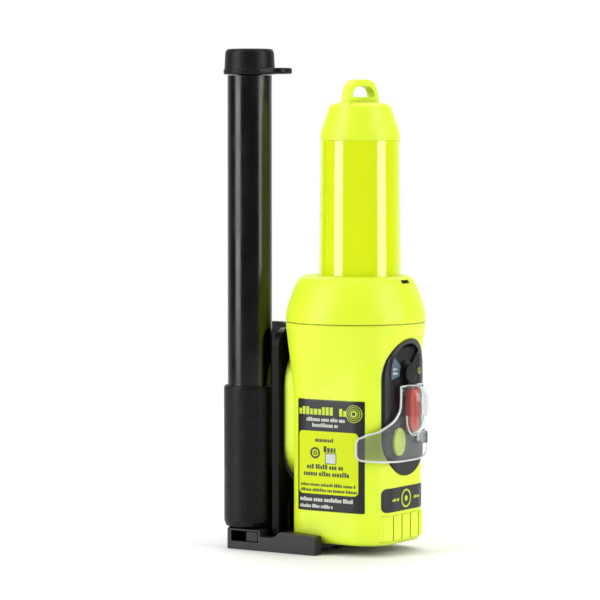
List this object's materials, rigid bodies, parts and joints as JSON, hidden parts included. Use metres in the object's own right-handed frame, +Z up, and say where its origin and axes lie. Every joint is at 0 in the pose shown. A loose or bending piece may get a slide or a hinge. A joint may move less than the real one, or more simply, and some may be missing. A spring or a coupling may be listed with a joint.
{
  "type": "search and rescue radar beacon on bulkhead bracket",
  "caption": "Upright rescue radar beacon with a tubular radome, guarded switch lever and lanyard eye, held in a bulkhead bracket beside its telescopic carrying pole.",
  "frame": {"origin": "centre of the bracket's underside, on the flat of its middle foot, which is the level the part stands on", "axes": "+Z up along the radome and the pole, +X towards the control panel and the way the beacon is pulled out, +Y into the bulkhead"},
  "size_m": [0.1278, 0.082, 0.2733],
  "materials": {
    "bracket_black": "satin",
    "hoop_black": "gloss",
    "catch_grey": "satin",
    "screw_steel": "satin",
    "shell_yellow": "satin",
    "button_yellow": "satin",
    "radome_yellow": "gloss",
    "seal_rubber": "matte",
    "panel_black": "satin",
    "window_blue": "satin",
    "lens_grey": "gloss",
    "label_black": "satin",
    "badge_black": "satin",
    "hub_black": "satin",
    "lever_red": "satin",
    "cover_clear": "clear",
    "cell_blue": "satin",
    "frame_grey": "matte",
    "board_green": "satin",
    "sounder_black": "matte",
    "switch_glass": "clear",
    "antenna_brass": "satin",
    "sleeve_rubber": "matte",
    "pole_black": "satin",
    "pole_cap_black": "matte"
  },
  "bodies": {
    "bracket": {"base_tray": "bracket_black", "rear_hoop": "hoop_black", "wall_plate": "bracket_black", "bracket_screw_1": "screw_steel", "bracket_screw_2": "screw_steel", "bracket_screw_3": "screw_steel", "bracket_screw_4": "screw_steel"},
    "catch": {"foot_catch": "catch_grey"},
    "beacon": {"lower_housing": "shell_yellow", "seam_seal": "seal_rubber", "shoulder_cover": "shell_yellow", "radome_tube": "radome_yellow", "radome_cap": "shell_yellow", "base_cover": "shell_yellow", "base_screw_1": "screw_steel", "base_screw_2": "screw_steel", "base_screw_3": "screw_steel", "base_screw_4": "screw_steel", "control_panel": "panel_black", "status_window": "window_blue", "led_lens": "lens_grey", "side_label": "label_black", "front_badge": "badge_black", "battery_cell_1": "cell_blue", "battery_cell_2": "cell_blue", "battery_cell_3": "cell_blue", "battery_cell_4": "cell_blue", "battery_plate": "frame_grey", "main_board": "board_green", "sounder": "sounder_black", "reed_switch": "switch_glass", "rf_board": "board_green", "antenna_stack": "antenna_brass"},
    "lever": {"switch_hub": "hub_black", "switch_lever": "lever_red"},
    "cover": {"security_cover": "cover_clear"},
    "button": {"test_button": "button_yellow"},
    "pole": {"pole_sleeve": "sleeve_rubber", "pole_outer_tube": "pole_black"},
    "stage_2": {"pole_stage_2": "pole_black"},
    "stage_3": {"pole_stage_3": "pole_black"},
    "stage_4": {"pole_stage_4": "pole_black", "pole_cap": "pole_cap_black"}
  },
  "joints": [
    {"name": "beacon_release", "type": "slide", "parent": "bracket", "child": "beacon", "axis": [1, 0, 0], "range_m": [0, 0.12]},
    {"name": "cover_pull", "type": "slide", "parent": "beacon", "child": "cover", "axis": [1, 0, 0], "range_m": [0, 0.15]},
    {"name": "lever_turn", "type": "hinge", "parent": "beacon", "child": "lever", "pos_m": [0.073, -0.0035, 0.098], "axis": [1, 0, 0], "range_deg": [0, 60]},
    {"name": "button_press", "type": "slide", "parent": "beacon", "child": "button", "axis": [-1, 0, 0], "range_m": [0, 0.0011], "stiffness_N_per_m": 800},
    {"name": "catch_press", "type": "slide", "parent": "bracket", "child": "catch", "axis": [0, 1, 0], "range_m": [0, 0.0018], "stiffness_N_per_m": 1500},
    {"name": "pole_release", "type": "slide", "parent": "bracket", "child": "pole", "axis": [0, 0, 1], "range_m": [0, 0.1]},
    {"name": "stage_2_slide", "type": "slide", "parent": "pole", "child": "stage_2", "axis": [0, 0, 1], "range_m": [0, 0.2]},
    {"name": "stage_3_slide", "type": "slide", "parent": "stage_2", "child": "stage_3", "axis": [0, 0, 1], "range_m": [0, 0.2]},
    {"name": "stage_4_slide", "type": "slide", "parent": "stage_3", "child": "stage_4", "axis": [0, 0, 1], "range_m": [0, 0.2]}
  ],
  "couplings": [
    {"joint": "lever_turn", "follows": "cover_pull", "rad_per_m": 6.98}
  ]
}
